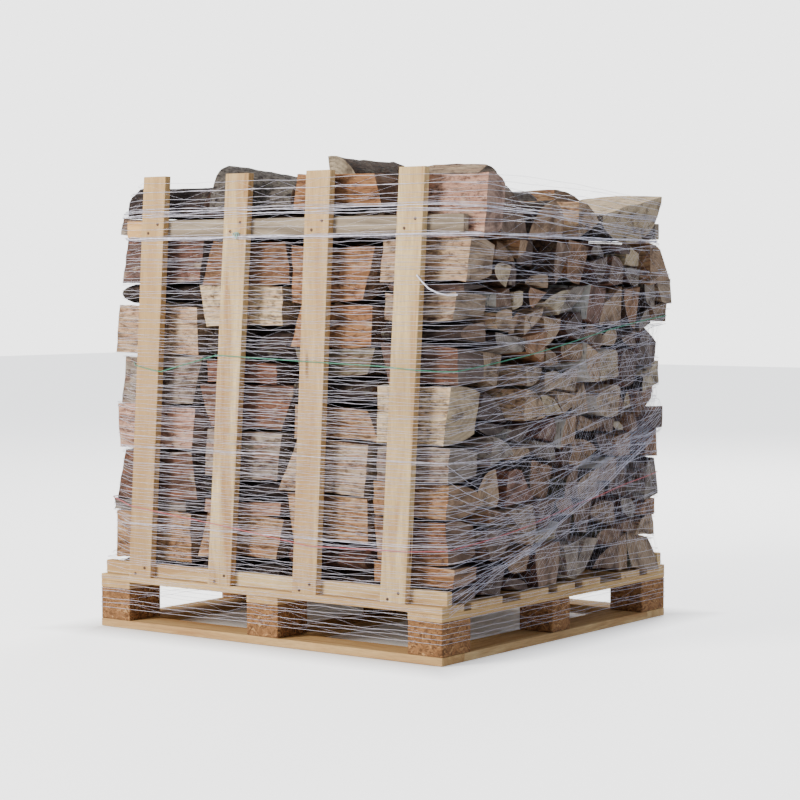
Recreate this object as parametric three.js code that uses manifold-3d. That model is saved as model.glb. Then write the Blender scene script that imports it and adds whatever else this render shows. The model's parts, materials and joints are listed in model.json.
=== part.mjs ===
// Stacked firewood on a wooden pallet, held by a slatted frame at the front and one at the back
// and wrapped in stretch netting. Millimetres, +Z up. The origin is the middle of the pallet's
// underside, +X runs along the slatted front and +Y runs from the front to the back.
// The billets lie along X in four tiers. Each tier is one solid with the tier's outer shape;
// the billets that lie on top are solids of their own.

import * as THREE from "three";
import { mergeVertices } from "three/addons/utils/BufferGeometryUtils.js";
import Module from "manifold-3d";

const wasm = await Module();
wasm.setup();

// ---- driving dimensions -------------------------------------------------------------------

const GAP = 0.3; // between pieces that rest on or against each other
const pallet = { length: 1200, width: 1140 };
const skid = { thick: 22, endWidth: 100, runnerWidth: 110 };
const block = { long: 110, height: 90, cornerWide: 130, middleWide: 90 };
const stringer = { thick: 19, wide: 110 };
// Deck boards, from front to back: [y of the front edge, width].
const deckBoards = [[-570, 100], [-437, 145], [-205, 139], [-20, 90], [110, 96], [323, 102], [470, 100]];
const deckThick = 19;
const upright = { wide: 82, thick: 22, frontTall: 1128, backTall: 1020 }; // the back frame is lower
const rail = { tall: 37, thick: 22 };
const batten = { tall: 46, thick: 22, left: -511, frontRight: 650, backRight: 588, bottom: 1111 };
// Middle of each front slat at its foot, and how far its head has leaned over towards +X.
const frontSlats = [[-451, 66], [-155, 73], [146, 52], [441, 63]];
const backSlats = [[-440, 58], [-148, 60], [150, 66], [446, 60]];

// Each tier: its left and right ends at the deck, its top, and its front billets from the deck
// up, each as [height, how far it sits back from the frame].
const STACK_LEAN = 0.045; // the stack leans with the frame, this much sideways for each mm of height
const tiers = [
  {
    left: -598, right: -295, top: 1166,
    rows: [[92, 6], [88, 2], [40, 18], [138, 4], [130, 10], [128, 5], [142, 2], [66, 12], [84, 8], [108, 3]],
  },
  {
    left: -278, right: 20, top: 1178,
    rows: [[74, 10], [128, 4], [50, 14], [134, 3], [120, 8], [64, 12], [92, 5], [122, 2], [102, 8], [142, 4]],
  },
  {
    left: 36, right: 316, top: 1178,
    rows: [[130, 3], [124, 8], [142, 2], [96, 14], [78, 6], [68, 12], [108, 3], [130, 8], [150, 4]],
  },
  {
    left: 334, right: 600, top: 1096,
    rows: [[98, 2], [118, 10], [92, 5], [92, 14], [160, 2], [82, 12], [84, 8], [66, 4], [36, 20], [118, 2]],
  },
];
const frameInner = 526; // half depth of the stack, between the two frames' inner faces

// Billets on top of the tiers: [name, tier from the left, y of the middle, width, height, length,
// shift along x, turn in degrees]
const topBillets = [
  ["top_quarter_billet_1", 0, -468, 108, 92, 284, 0, 0],
  ["top_half_billet_1", 0, -300, 190, 78, 280, 12, 3],
  ["top_wedge_billet_1", 0, -80, 150, 92, 275, -6, -2],
  ["top_half_billet_2", 0, 250, 230, 86, 285, 4, 1],
  ["top_half_billet_3", 1, -428, 186, 134, 276, 4, 0],
  ["top_slab_billet_1", 1, -218, 180, 62, 270, -4, -3],
  ["top_quarter_billet_2", 1, -10, 140, 96, 280, 5, 2],
  ["top_half_billet_4", 1, 300, 240, 90, 275, -6, -2],
  ["top_slab_billet_2", 2, -460, 120, 96, 272, 0, 0],
  ["top_wedge_billet_2", 2, -262, 86, 150, 260, -72, 88],
  ["top_quarter_billet_3", 2, -30, 150, 88, 268, 6, -4],
  ["top_half_billet_5", 2, 190, 196, 84, 262, -4, 3],
  ["top_wedge_billet_3", 2, 420, 150, 80, 265, 2, -2],
  ["top_slab_billet_3", 3, -474, 96, 166, 280, 46, 0],
  ["top_quarter_billet_4", 3, -338, 150, 150, 262, 16, 2],
  ["top_half_billet_6", 3, -160, 168, 106, 264, 12, -3],
  ["top_wedge_billet_4", 3, 40, 130, 112, 266, 14, 2],
  ["top_half_billet_7", 3, 322, 372, 142, 262, -8, -2],
];
// A flat slab that lies on the big front slab of the last tier.
const capSlab = {
  name: "top_slab_billet_4",
  on: "top_slab_billet_3",
  size: [232, 84, 32], // length, width, height
  turn: -2,
};

// The net's loops, from just above the rails to the top billets: [height, x of the right side].
const netLoops = [
  [206, 616], [350, 628], [540, 636], [730, 646], [920, 668], [1092, 706], [1184, 706], [1256, 706],
];
const netCord = { thick: 3, tie: 2, clear: 2.5, sideClear: 6, overTop: 20 };
const netTieX = [-500, -150, 150, 500]; // where ties climb the front and the back

// ---- colours ------------------------------------------------------------------------------

const paint = (color, roughness) => new THREE.MeshStandardMaterial({ color, roughness, metalness: 0 });
const boardWood = paint("#d9b988", 0.75);
const oldWood = paint("#b3a68c", 0.8);
const chipboard = paint("#a97c4f", 0.85);
const firewood = paint("#9a7355", 0.85);
const netPlastic = paint("#e9ebee", 0.45);

// ---- helpers ------------------------------------------------------------------------------

const part = new THREE.Group();

function add(name, geometry, material, x = 0, y = 0, z = 0) {
  const mesh = new THREE.Mesh(geometry, material);
  mesh.name = name;
  mesh.position.set(x, y, z);
  part.add(mesh);
  return mesh;
}

function board(name, [sizeX, sizeY, sizeZ], [x, y, bottom], material) {
  return add(name, new THREE.BoxGeometry(sizeX, sizeY, sizeZ), material, x, y, bottom + sizeZ / 2);
}

// A closed outline in the first two axes, extruded along the third one.
function prism(points, depth) {
  const shape = new THREE.Shape(points.map(([a, b]) => new THREE.Vector2(a, b)));
  return new THREE.ExtrudeGeometry(shape, { depth, bevelEnabled: false });
}

// An outline in X and Z, extruded along Y from the given y.
function prismAlongY(points, y, depth) {
  return prism(points, depth).rotateX(Math.PI / 2).translate(0, y + depth, 0);
}

// An outline in Y and Z, extruded along X from the given x.
function prismAlongX(points, x, depth) {
  return prism(points, depth).rotateY(Math.PI / 2).rotateX(Math.PI / 2).translate(x, 0, 0);
}

function solidOf(geometry) {
  const bare = geometry.index ? geometry.toNonIndexed() : geometry.clone();
  bare.deleteAttribute("normal");
  bare.deleteAttribute("uv");
  const merged = mergeVertices(bare, 1e-3);
  return new wasm.Manifold(
    new wasm.Mesh({
      numProp: 3,
      vertProperties: new Float32Array(merged.attributes.position.array),
      triVerts: new Uint32Array(merged.index.array),
    }),
  );
}

function geometryOf(solid) {
  const mesh = solid.getMesh();
  const geometry = new THREE.BufferGeometry();
  geometry.setAttribute("position", new THREE.BufferAttribute(new Float32Array(mesh.vertProperties), 3));
  geometry.setIndex(new THREE.BufferAttribute(new Uint32Array(mesh.triVerts), 1));
  return geometry;
}

const leanAt = (z) => STACK_LEAN * (z - deckTop);

// ---- pallet -------------------------------------------------------------------------------

const blockBottom = skid.thick + GAP;
const stringerBottom = blockBottom + block.height + GAP;
const deckBottom = stringerBottom + stringer.thick + GAP;
const deckTop = deckBottom + deckThick;
const columnX = (pallet.length - block.long) / 2;
const columns = { left: -columnX, middle: 0, right: columnX };
const backFrameTop = deckTop + GAP + upright.backTall;

function makePallet() {
  const endY = (pallet.width - skid.endWidth) / 2;
  board("skid_front", [pallet.length, skid.endWidth, skid.thick], [0, -endY, 0], boardWood);
  board("skid_back", [pallet.length, skid.endWidth, skid.thick], [0, endY, 0], boardWood);
  const runnerLong = pallet.width - 2 * (skid.endWidth + GAP);
  const cornerY = (pallet.width - block.cornerWide) / 2;
  const cornerBlock = [block.long, block.cornerWide, block.height];
  const centreBlock = [block.long, block.middleWide, block.height];
  const stringerSize = [stringer.wide, pallet.width, stringer.thick];
  for (const [side, x] of Object.entries(columns)) {
    board(`skid_${side}`, [skid.runnerWidth, runnerLong, skid.thick], [x, 0, 0], boardWood);
    board(`block_front_${side}`, cornerBlock, [x, -cornerY, blockBottom], chipboard);
    board(`block_centre_${side}`, centreBlock, [x, 0, blockBottom], chipboard);
    board(`block_back_${side}`, cornerBlock, [x, cornerY, blockBottom], chipboard);
    board(`stringer_${side}`, stringerSize, [x, 0, stringerBottom], boardWood);
  }
  deckBoards.forEach(([from, wide], i) => {
    const y = from + wide / 2;
    board(`deck_board_${i + 1}`, [pallet.length, wide, deckThick], [0, y, deckBottom], boardWood);
  });
}

// ---- frames -------------------------------------------------------------------------------

// side is -1 for the front frame and +1 for the back one.
function makeFrame(word, side, slats, tall, battenRight, battenMaterial) {
  const faceY = side * (pallet.width / 2);
  const foot = deckTop + GAP;
  slats.forEach(([x, lean], i) => {
    const half = upright.wide / 2;
    const outline = [
      [x - half, foot],
      [x + half, foot],
      [x + half + lean, foot + tall],
      [x - half + lean, foot + tall],
    ];
    const fromY = side < 0 ? faceY : faceY - upright.thick;
    add(`slat_${word}_${i + 1}`, prismAlongY(outline, fromY, upright.thick), boardWood);
  });
  const railY = faceY - side * (upright.thick + GAP + rail.thick / 2);
  board(`rail_${word}`, [pallet.length, rail.thick, rail.tall], [0, railY, foot], boardWood);
  const battenSize = [battenRight - batten.left, batten.thick, batten.tall];
  const battenX = (batten.left + battenRight) / 2;
  board(`batten_${word}`, battenSize, [battenX, railY, batten.bottom], battenMaterial);
}

// ---- tiers of billets ---------------------------------------------------------------------

// The tier's side view is stepped at the front by its billets and at the back by the same
// billets in turned order; its front view leans with the stack.
function makeTier(tier, number) {
  const from = deckTop + GAP;
  const inner = frameInner - GAP;
  const front = [];
  const back = [];
  let z = from;
  tier.rows.forEach(([tall, setBack], i) => {
    const last = i === tier.rows.length - 1;
    const next = last ? tier.top : z + tall;
    const backSet = tier.rows[(i * 3 + 1) % tier.rows.length][1];
    front.push([-inner + setBack, z], [-inner + setBack, next]);
    back.push([inner - backSet, z], [inner - backSet, next]);
    z = next;
  });
  const sideView = [...back, ...front.reverse()];
  const ends = [
    [tier.left, from],
    [tier.right, from],
    [tier.right + leanAt(tier.top), tier.top],
    [tier.left + leanAt(tier.top), tier.top],
  ];
  const long = solidOf(prismAlongX(sideView, -pallet.length, 2 * pallet.length));
  const leaning = solidOf(prismAlongY(ends, -pallet.width, 2 * pallet.width));
  add(`billet_tier_${number}`, geometryOf(long.intersect(leaning)), firewood);
}

// ---- single billets on top ----------------------------------------------------------------

// Cross-sections in a box one wide and one high, standing on the lower side. The round side is bark.
function arc(fromAngle, toAngle, count, centreY, centreZ, radiusY, radiusZ) {
  return Array.from({ length: count + 1 }, (_, i) => {
    const angle = THREE.MathUtils.degToRad(fromAngle + ((toAngle - fromAngle) * i) / count);
    return [centreY + radiusY * Math.cos(angle), centreZ + radiusZ * Math.sin(angle)];
  });
}
const sections = {
  half: [[-0.5, 0], [0.5, 0], ...arc(12, 168, 8, 0, 0, 0.5, 1)],
  quarter: [[-0.5, 0], ...arc(0, 90, 6, -0.5, 0, 1, 1)],
  wedge: [[-0.5, 0], [0.5, 0], [0.42, 0.2], [-0.06, 1], [-0.46, 0.16]],
  slab: [[-0.5, 0], [0.5, 0], [0.5, 0.78], ...arc(20, 160, 4, 0, 0.72, 0.5, 0.28), [-0.5, 0.78]],
};

function makeBillet(name, [x, y, bottom], [length, width, height], turn) {
  const section = sections[name.split("_")[1]].map(([a, b]) => [a * width, b * height]);
  const mesh = add(name, prismAlongX(section, -length / 2, length), firewood, x, y, bottom);
  mesh.rotation.z = THREE.MathUtils.degToRad(turn);
  return mesh;
}

function makeTopBillets() {
  for (const [name, index, y, width, height, length, shift, turn] of topBillets) {
    const tier = tiers[index];
    const x = (tier.left + tier.right) / 2 + leanAt(tier.top) + shift;
    const mesh = makeBillet(name, [x, y, tier.top + GAP], [length, width, height], turn);
    if (name !== capSlab.on) continue;
    makeBillet(capSlab.name, [x, y, mesh.position.z + height + GAP], capSlab.size, capSlab.turn);
  }
}

// ---- net ----------------------------------------------------------------------------------

// The net is a lattice of thick cords: level loops round the stack, and ties that climb from
// loop to loop. This gives the corners of one loop's inner edge, seen from above.
function netCorners([z, reach]) {
  const lean = leanAt(z);
  const left = pallet.length / 2 + netCord.sideClear - lean;
  const faceY = pallet.width / 2 + netCord.clear;
  const sideY = frameInner + netCord.sideClear;
  const backY = z > backFrameTop + netCord.overTop ? sideY : faceY; // drawn in above the back frame
  const faceX = netTieX.map((x) => x + lean);
  return [
    ...faceX.map((x) => [x, -faceY]),
    ...[-sideY, 0, sideY].map((y) => [reach, y]),
    ...faceX.map((x) => [x, backY]).reverse(),
    ...[sideY, 0, -sideY].map((y) => [-left, y]),
  ];
}

function spread(corners, by) {
  return corners.map(([x, y]) => [x + Math.sign(x) * by, y + Math.sign(y) * by]);
}

function netLoop(corners, z) {
  const toVectors = (points) => points.map(([x, y]) => new THREE.Vector2(x, y));
  const shape = new THREE.Shape(toVectors(spread(corners, netCord.thick)));
  shape.holes.push(new THREE.Path(toVectors(corners)));
  const ring = new THREE.ExtrudeGeometry(shape, { depth: netCord.thick, bevelEnabled: false });
  return ring.translate(0, 0, z - netCord.thick / 2);
}

function netTie(from, to) {
  const along = to.clone().sub(from);
  const geometry = new THREE.BoxGeometry(netCord.tie, netCord.tie, along.length());
  const up = new THREE.Vector3(0, 0, 1);
  const climb = new THREE.Quaternion().setFromUnitVectors(up, along.clone().normalize());
  const middle = from.clone().add(to).multiplyScalar(0.5);
  return geometry.applyQuaternion(climb).translate(middle.x, middle.y, middle.z);
}

function makeNet() {
  const loops = netLoops.map(netCorners);
  const knots = loops.map((corners, i) =>
    spread(corners, netCord.thick / 2).map(([x, y]) => new THREE.Vector3(x, y, netLoops[i][0])),
  );
  const rings = loops.map((corners, i) => solidOf(netLoop(corners, netLoops[i][0])));
  const ties = knots
    .slice(1)
    .flatMap((row, i) => row.map((knot, k) => solidOf(netTie(knots[i][k], knot))));
  add("stretch_net", geometryOf(wasm.Manifold.union([...rings, ...ties])), netPlastic);
}

// ---- the whole part -----------------------------------------------------------------------

makePallet();
makeFrame("front", -1, frontSlats, upright.frontTall, batten.frontRight, oldWood);
makeFrame("back", 1, backSlats, upright.backTall, batten.backRight, oldWood);
tiers.forEach((tier, i) => makeTier(tier, i + 1));
makeTopBillets();
makeNet();

export default part;
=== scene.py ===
# %% [markdown]
# # Firewood on a pallet
# Split firewood, stacked in four tiers on a wooden pallet, held by a frame of slats at the front
# and one at the back, and wrapped in stretch netting. The model that was engineered before gives
# every size and place. This notebook adds what the eye sees: sawn boards, some five hundred split
# billets, and the net's threads. The first cell loads that model.

import json
import math
import random

import bpy
import numpy as np
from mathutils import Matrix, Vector, noise

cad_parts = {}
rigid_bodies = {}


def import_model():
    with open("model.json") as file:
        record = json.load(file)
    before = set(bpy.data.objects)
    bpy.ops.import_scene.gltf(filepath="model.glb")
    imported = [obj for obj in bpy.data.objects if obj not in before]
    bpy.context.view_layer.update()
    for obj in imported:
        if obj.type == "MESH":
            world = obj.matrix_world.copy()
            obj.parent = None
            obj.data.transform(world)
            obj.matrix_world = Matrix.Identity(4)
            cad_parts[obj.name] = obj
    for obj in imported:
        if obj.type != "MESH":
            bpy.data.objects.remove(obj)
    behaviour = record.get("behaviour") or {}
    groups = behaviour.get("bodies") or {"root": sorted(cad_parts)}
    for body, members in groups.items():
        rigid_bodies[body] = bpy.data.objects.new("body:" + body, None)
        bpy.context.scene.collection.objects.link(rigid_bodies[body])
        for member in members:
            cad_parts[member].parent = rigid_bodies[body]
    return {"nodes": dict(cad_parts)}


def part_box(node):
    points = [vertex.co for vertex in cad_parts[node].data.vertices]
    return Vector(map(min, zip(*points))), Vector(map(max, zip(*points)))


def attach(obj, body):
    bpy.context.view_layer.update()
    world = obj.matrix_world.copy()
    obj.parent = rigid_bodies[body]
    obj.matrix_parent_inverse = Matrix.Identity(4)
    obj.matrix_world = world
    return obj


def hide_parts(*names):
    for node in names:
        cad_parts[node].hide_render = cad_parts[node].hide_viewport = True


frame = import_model()
bpy.ops.object.select_all(action="DESELECT")
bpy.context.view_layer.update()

# %% [markdown]
# ## Camera
# A long lens far away keeps the pallet's edges nearly parallel, as the eye sees a load from the far
# side of a yard. The camera stands a little under the top of the load and looks down only slightly,
# so the front and the right side both show and the top is seen almost edge on. A camera could be
# aimed at a target by a constraint; two angles are enough here and are easy to read.

# %% Place the camera
CAMERA_PLACE = (3.887, -5.21, 0.965)
CAMERA_TURN = 36.4  # degrees round the vertical, from looking along +Y
CAMERA_DOWN = 2.83  # degrees below the horizon
CAMERA_LENS = 100.7  # millimetres, on a sensor 36 mm wide

bpy.ops.object.camera_add(
    location=CAMERA_PLACE,
    rotation=(math.radians(90 - CAMERA_DOWN), 0, math.radians(CAMERA_TURN)),
)
camera = bpy.context.object
camera.name = "camera"
camera.data.lens = CAMERA_LENS
bpy.context.scene.camera = camera
print("camera at", tuple(camera.location))

# %% [markdown]
# ## Floor
# The load stands on a plain pale floor that shines like an overexposed studio floor. The shine fades
# out under the pallet, so that the fork openings stay dark. Only the camera's own rays see the shine,
# so it doesn't light the wood. A lamp aimed at the floor would also wash out the foot of the load.

# %% Lay the floor
FLOOR_SIZE = 40
FLOOR_COLOUR = (0.93, 0.93, 0.92)
SHADE_FROM, SHADE_TO = 0.56, 0.74  # the shine fades out under the pallet, where the floor is dark
FLOOR_GLOW = 0.04  # the light that the floor itself sends up
FLOOR_SHINE = 1.8  # how much brighter the camera sees it, like an overexposed studio floor

bpy.ops.mesh.primitive_plane_add(size=FLOOR_SIZE, location=(0, 0, -0.001))
floor = bpy.context.object
floor.name = "floor"
floor_paint = bpy.data.materials.new("floor_paint")
floor_paint.use_nodes = True
floor_shader = floor_paint.node_tree.nodes["Principled BSDF"]
floor_shader.inputs["Base Color"].default_value = (*FLOOR_COLOUR, 1)
floor_shader.inputs["Roughness"].default_value = 0.9
floor_shader.inputs["Emission Color"].default_value = (1, 1, 1, 1)
floor_nodes = floor_paint.node_tree
brighten = floor_nodes.nodes.new("ShaderNodeMath")
brighten.operation = "MULTIPLY_ADD"
brighten.inputs[1].default_value = FLOOR_SHINE
brighten.inputs[2].default_value = FLOOR_GLOW
floor_seen = floor_nodes.nodes.new("ShaderNodeLightPath").outputs["Is Camera Ray"]
floor_place = floor_nodes.nodes.new("ShaderNodeTexCoord").outputs["Object"]
floor_axes = floor_nodes.nodes.new("ShaderNodeSeparateXYZ")
floor_nodes.links.new(floor_place, floor_axes.inputs["Vector"])


def floor_maths(operation, first, second):
    node = floor_nodes.nodes.new("ShaderNodeMath")
    node.operation = operation
    for socket, value in zip(node.inputs, (first, second)):
        if isinstance(value, (int, float)):
            socket.default_value = value
        else:
            floor_nodes.links.new(value, socket)
    return node.outputs["Value"]


sideways = floor_maths("ABSOLUTE", floor_axes.outputs["X"], 0.0)
inwards = floor_maths("ABSOLUTE", floor_axes.outputs["Y"], 0.0)
from_middle = floor_maths("MAXIMUM", sideways, inwards)
clear = floor_nodes.nodes.new("ShaderNodeMapRange")
floor_nodes.links.new(from_middle, clear.inputs["Value"])
clear.inputs["From Min"].default_value, clear.inputs["From Max"].default_value = SHADE_FROM, SHADE_TO
floor_nodes.links.new(floor_maths("MULTIPLY", floor_seen, clear.outputs["Result"]), brighten.inputs[0])
floor_nodes.links.new(brighten.outputs["Value"], floor_shader.inputs["Emission Strength"])
floor.data.materials.append(floor_paint)
print("the floor is", FLOOR_SIZE, "metres wide")

# %% [markdown]
# ## Light
# A large soft lamp high on the left lights the slatted front warmly, a weaker cool one keeps the log
# ends on the right readable, one behind lifts the top edge, and a pale sky fills the gaps. A single
# sun would be simpler, but its hard shadows would hide the threads and the bark.

# %% Hang the lamps and the sky
def add_lamp(name, place, aim, size, power, colour):
    bpy.ops.object.light_add(type="AREA", location=place)
    lamp = bpy.context.object
    lamp.name = name
    lamp.data.shape = "DISK"
    lamp.data.size = size
    lamp.data.energy = power
    lamp.data.color = colour
    lamp.rotation_euler = (Vector(aim) - Vector(place)).to_track_quat("-Z", "Y").to_euler()
    return lamp


LOAD_MIDDLE = (0, 0, 0.65)
add_lamp("key_lamp", (-2.6, -6.5, 3.6), LOAD_MIDDLE, 3.0, 900, (1.0, 0.96, 0.90))
add_lamp("side_lamp", (7.0, 0.5, 3.4), LOAD_MIDDLE, 3.0, 100, (0.80, 0.88, 1.0))
add_lamp("back_lamp", (-1.5, 5.5, 4.8), LOAD_MIDDLE, 3.0, 420, (1.0, 0.98, 0.95))

sky = bpy.data.worlds.new("sky")
sky.use_nodes = True
sky_light = sky.node_tree.nodes["Background"]
sky_light.inputs["Color"].default_value = (0.80, 0.87, 1.0, 1)
sky_light.inputs["Strength"].default_value = 0.50
backdrop = sky.node_tree.nodes.new("ShaderNodeBackground")
backdrop.inputs["Color"].default_value = (0.97, 0.97, 0.97, 1)
backdrop.inputs["Strength"].default_value = 3.4
seen = sky.node_tree.nodes.new("ShaderNodeLightPath").outputs["Is Camera Ray"]
either = sky.node_tree.nodes.new("ShaderNodeMixShader")
sky.node_tree.links.new(seen, either.inputs["Fac"])
sky.node_tree.links.new(sky_light.outputs["Background"], either.inputs[1])
sky.node_tree.links.new(backdrop.outputs["Background"], either.inputs[2])
sky.node_tree.links.new(either.outputs["Shader"], sky.node_tree.nodes["World Output"].inputs["Surface"])
bpy.context.scene.world = sky

# %% [markdown]
# ## A small kit for materials
# Every finish below is a tree of nodes that starts from a place on the wood and ends in the colour,
# roughness and bump of one shader. Writing each link out would bury the idea, so a few helpers add
# a node, join it and return its output. The patterns are procedural: they have no seams, they run
# through the whole log like real grain, and they need no picture.

# %% Helpers for nodes


class Tree:
    """One material's nodes, with short ways to add the ones that wood needs."""

    def __init__(self, name, roughness=0.8):
        self.material = bpy.data.materials.new(name)
        self.material.use_nodes = True
        self.nodes = self.material.node_tree.nodes
        self.links = self.material.node_tree.links
        self.shader = self.nodes["Principled BSDF"]
        self.shader.inputs["Roughness"].default_value = roughness
        self.shader.inputs["Specular IOR Level"].default_value = 0.25

    def add(self, kind, inputs=(), **settings):
        node = self.nodes.new(kind)
        for key, value in settings.items():
            setattr(node, key, value)
        for key, value in dict(inputs).items():
            self.put(node.inputs[key], value)
        return node

    def put(self, socket, value):
        if isinstance(value, bpy.types.NodeSocket):
            self.links.new(value, socket)
        else:
            socket.default_value = value

    def object_place(self):
        return self.add("ShaderNodeTexCoord").outputs["Object"]

    def attribute(self, name, output="Vector"):
        return self.add("ShaderNodeAttribute", attribute_name=name).outputs[output]

    def scaled(self, place, scale, turn=(0, 0, 0), move=(0, 0, 0)):
        inputs = {"Vector": place, "Scale": scale, "Rotation": turn, "Location": move}
        return self.add("ShaderNodeMapping", inputs).outputs["Vector"]

    def noise(self, place, scale, detail=4, rough=0.55, distort=0.0):
        inputs = {"Vector": place, "Scale": scale, "Detail": detail, "Roughness": rough}
        inputs["Distortion"] = distort
        return self.add("ShaderNodeTexNoise", inputs).outputs["Fac"]

    def cells(self, place, scale, feature="F1", output="Distance"):
        inputs = {"Vector": place, "Scale": scale}
        return self.add("ShaderNodeTexVoronoi", inputs, feature=feature).outputs[output]

    def ramp(self, value, stops):
        node = self.add("ShaderNodeValToRGB", {"Fac": value})
        points = node.color_ramp.elements
        while len(points) < len(stops):
            points.new(0.5)
        for point, (position, colour) in zip(points, stops):
            point.position = position
            point.color = colour if len(colour) == 4 else (*colour, 1)
        return node.outputs["Color"]

    def levels(self, value, low, high, to_low=0.0, to_high=1.0):
        inputs = {"Value": value, "From Min": low, "From Max": high, "To Min": to_low, "To Max": to_high}
        return self.add("ShaderNodeMapRange", inputs).outputs["Result"]

    def math(self, operation, first, second=0.5):
        return self.add("ShaderNodeMath", {0: first, 1: second}, operation=operation).outputs["Value"]

    def mix(self, amount, first, second, blend="MIX"):
        node = self.add("ShaderNodeMix", data_type="RGBA", blend_type=blend)
        factor = [s for s in node.inputs if s.type == "VALUE" and s.enabled][0]
        self.put(factor, amount)
        colour_in = [s for s in node.inputs if s.type == "RGBA"]
        for socket, value in zip(colour_in, (first, second)):
            self.put(socket, (*value, 1) if isinstance(value, tuple) and len(value) == 3 else value)
        return [s for s in node.outputs if s.type == "RGBA"][0]

    def bump(self, height, strength, distance):
        inputs = {"Height": height, "Strength": strength, "Distance": distance}
        return self.add("ShaderNodeBump", inputs).outputs["Normal"]

    def finish(self, colour=None, roughness=None, normal=None):
        for key, value in (("Base Color", colour), ("Roughness", roughness), ("Normal", normal)):
            if value is not None:
                self.put(self.shader.inputs[key], value)
        return self.material


print("node helpers are ready")

# %% [markdown]
# ## Sawn softwood
# The pallet, the slats and the rails are boards straight off the saw: a yellow-tan ground, darker
# streaks of late wood that run the length of the board, fine fibres, a few knots, and faint ribs
# across the grain where the blade passed. Noise that is squeezed along the board gives the streaks,
# and the cells of a second texture, stretched the same way, place the knots. A flat colour with a
# wood picture would repeat from board to board; this never does.

# %% Colours and the board finish
def linear(colour):
    """A colour as seen on a screen, turned into the light values that a shader takes."""
    return tuple(c / 12.92 if c <= 0.04045 else ((c + 0.055) / 1.055) ** 2.4 for c in colour)


ALONG = {"X": (1, 12, 12), "Y": (12, 1, 12), "Z": (12, 12, 1)}
SAW_RIBS = {"X": (26, 1, 1), "Y": (1, 26, 1), "Z": (1, 1, 26)}


def sawn_board(name, grain_axis, pale, dark, move, knots=0.1):
    tree = Tree(name, roughness=0.78)
    place = tree.scaled(tree.object_place(), ALONG[grain_axis], move=move)
    streaks = tree.noise(place, 2.2, detail=5, rough=0.6, distort=0.8)
    fibres = tree.noise(tree.scaled(place, (1, 1, 1)), 26, detail=3)
    blotches = tree.noise(tree.object_place(), 3.1, detail=2)
    ground = tree.mix(tree.levels(streaks, 0.36, 0.66), linear(dark), linear(pale))
    ground = tree.mix(tree.levels(fibres, 0.3, 0.75, 0.0, 0.4), ground, linear([c * 0.62 for c in dark]))
    ground = tree.mix(tree.levels(blotches, 0.5, 0.8, 0.0, 0.45), ground, linear([c * 0.75 for c in dark]))
    knot_place = tree.scaled(place, (1, 0.55, 1) if grain_axis == "X" else (0.55, 1, 1))
    knot = tree.levels(tree.cells(knot_place, 1.7), knots, knots * 0.45)
    ground = tree.mix(knot, ground, linear((0.30, 0.17, 0.09)))
    saw = tree.noise(tree.scaled(tree.object_place(), SAW_RIBS[grain_axis]), 6)
    height = tree.math("ADD", tree.math("MULTIPLY", fibres, 0.6), tree.math("MULTIPLY", saw, 0.5))
    rough = tree.levels(fibres, 0.2, 0.8, 0.65, 0.9)
    return tree.finish(ground, rough, tree.bump(height, 0.5, 0.0015))


print("boards can have their grain along", list(ALONG))

# %% [markdown]
# ## Which board gets which finish
# Boards of one pallet come from different logs, so each group gets its own tint and its own stretch
# of grain. The old batten has gone grey outdoors, apart from its end. The engineered nodes stay as
# they are; a weld joins their loose triangles and a small bevel takes the sharpness off the edges,
# which is what makes a board look sawn and handled instead of drawn.

# %% Finish the boards
BOARD_EDGE = 0.0016


def soften(node, width=BOARD_EDGE):
    piece = frame["nodes"][node]
    weld = piece.modifiers.new("weld", "WELD")
    weld.merge_threshold = 0.00001
    bevel = piece.modifiers.new("bevel", "BEVEL")
    bevel.width = width
    bevel.segments = 2
    bevel.limit_method = "ANGLE"
    return piece


def paint(node, material):
    piece = frame["nodes"][node]
    piece.data.materials.clear()
    piece.data.materials.append(material)


TAN, STRAW, HONEY, ROSY = (0.83, 0.70, 0.50), (0.88, 0.77, 0.56), (0.80, 0.66, 0.45), (0.79, 0.64, 0.48)
TAN_DARK, HONEY_DARK = (0.72, 0.57, 0.38), (0.66, 0.50, 0.32)
board_groups = {
    "skid_front": ("X", HONEY, HONEY_DARK), "skid_back": ("X", TAN, TAN_DARK), "rail": ("X", STRAW, TAN_DARK),
    "deck": ("X", TAN, TAN_DARK), "skid": ("Y", TAN, HONEY_DARK), "stringer": ("Y", HONEY, TAN_DARK),
    "slat_front_1": ("Z", HONEY, TAN_DARK), "slat_front_2": ("Z", STRAW, HONEY_DARK),
    "slat_front_3": ("Z", TAN, TAN_DARK), "slat_front_4": ("Z", STRAW, TAN_DARK),
    "slat": ("Z", ROSY, TAN_DARK),
}
board_finishes = {
    group: sawn_board("board_" + group, axis, pale, dark, (0.37 * i, 0.21 * i, 0.53 * i))
    for i, (group, (axis, pale, dark)) in enumerate(board_groups.items())
}
for node in frame["nodes"]:
    group = next((g for g in board_groups if node.startswith(g)), None)
    if group:
        soften(node)
        paint(node, board_finishes[group])
print(len(board_finishes), "board finishes")

# %% [markdown]
# ## The weathered batten
# The batten behind the slats has stood outside: its fibres have turned silver-grey and stand up,
# and only the end that was cut lately is still yellow. One set of streaks is coloured twice, fresh
# and grey, and the place along the board picks between the two.

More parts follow.
